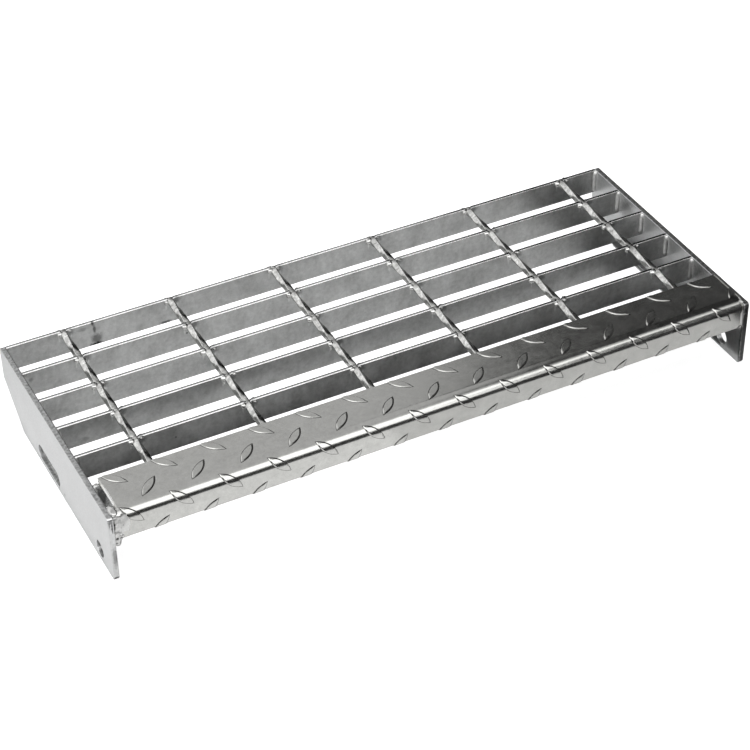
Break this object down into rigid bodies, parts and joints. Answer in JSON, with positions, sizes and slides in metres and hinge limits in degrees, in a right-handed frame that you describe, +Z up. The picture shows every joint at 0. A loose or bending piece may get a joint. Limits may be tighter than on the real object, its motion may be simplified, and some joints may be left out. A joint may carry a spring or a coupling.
{
  "type": "steel grating stair tread",
  "caption": "Galvanised steel grating stair tread: bearing bars and twisted cross rods between two bolt-on end plates, with a folded chequer-plate nosing.",
  "frame": {"origin": "centre of the bounding box's underside: midway between the end plates and midway along their depth, level with their bottom edges", "axes": "+X along the bearing bars, towards the right end plate as seen from the nosing; -Y towards the nosing; +Z up, out of the walking surface"},
  "size_m": [0.6, 0.25, 0.069],
  "materials": {
    "grating_steel": "hot-dip galvanised, dull grey with soft mottling",
    "end_plate_steel": "hot-dip galvanised, light grey",
    "nosing_steel": "hot-dip galvanised chequer plate, rubbed along its bend"
  },
  "bodies": {
    "root": {"grating": "grating_steel", "left_end_plate": "end_plate_steel", "right_end_plate": "end_plate_steel", "nosing": "nosing_steel"}
  },
  "joints": []
}
